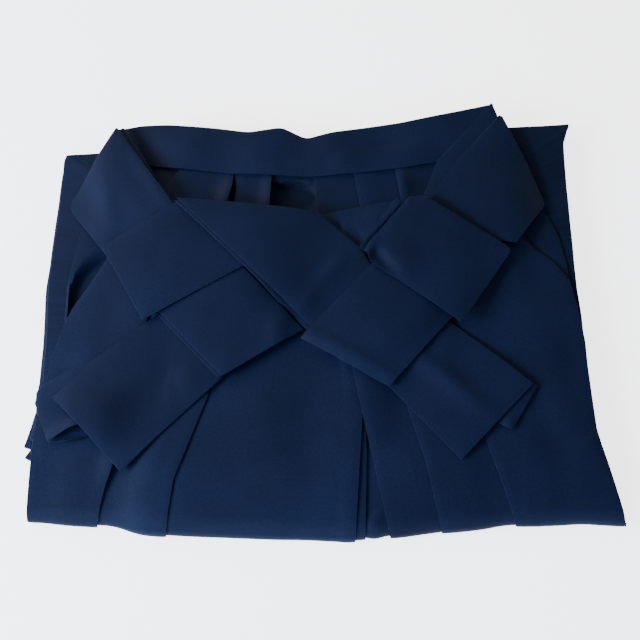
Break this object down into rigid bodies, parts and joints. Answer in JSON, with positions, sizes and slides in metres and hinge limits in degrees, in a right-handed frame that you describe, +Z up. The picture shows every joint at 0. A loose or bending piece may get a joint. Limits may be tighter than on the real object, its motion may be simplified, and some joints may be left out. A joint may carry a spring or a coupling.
{
  "type": "folded hakama trousers",
  "caption": "Pleated hakama trousers folded in three and laid flat, front up, with the long ties folded and crossed on top in the traditional way.",
  "frame": {"origin": "centre of the bundle's plan outline, on the table it lies on", "axes": "+Z up from the table, +X along the lower fold, to the right of the picture, +Y from the lower fold towards the waist"},
  "size_m": [0.4968, 0.4158, 0.0391],
  "materials": {
    "cloth": "navy, plain woven, matte with a faint sheen"
  },
  "bodies": {
    "root": {"hidden_layers": "cloth", "back_panel": "cloth", "back_pleat_left_inner": "cloth", "back_pleat_left_outer": "cloth", "back_pleat_right_inner": "cloth", "back_pleat_right_middle": "cloth", "back_pleat_right_outer": "cloth", "back_waist_band": "cloth", "slit_fold_left": "cloth", "slit_fold_right": "cloth", "front_centre_panel": "cloth", "front_first_pleat_right": "cloth", "front_second_pleat_left": "cloth", "front_second_pleat_right": "cloth", "front_side_panel_left": "cloth", "front_third_pleat_right": "cloth", "front_waist_band": "cloth", "front_tie_right_end_under": "cloth", "front_tie_right_lower": "cloth", "front_tie_left_end_under": "cloth", "front_tie_left_lower": "cloth", "back_tie_left_upper": "cloth", "back_tie_left_lower_under": "cloth", "back_tie_left_lower": "cloth", "back_tie_left_wrap": "cloth", "back_tie_right_upper_under": "cloth", "back_tie_right_upper": "cloth", "front_tie_left_upper_under": "cloth", "front_tie_left_upper": "cloth", "back_tie_right_lower": "cloth", "back_tie_right_wrap_under": "cloth", "back_tie_right_wrap": "cloth"}
  },
  "joints": []
}
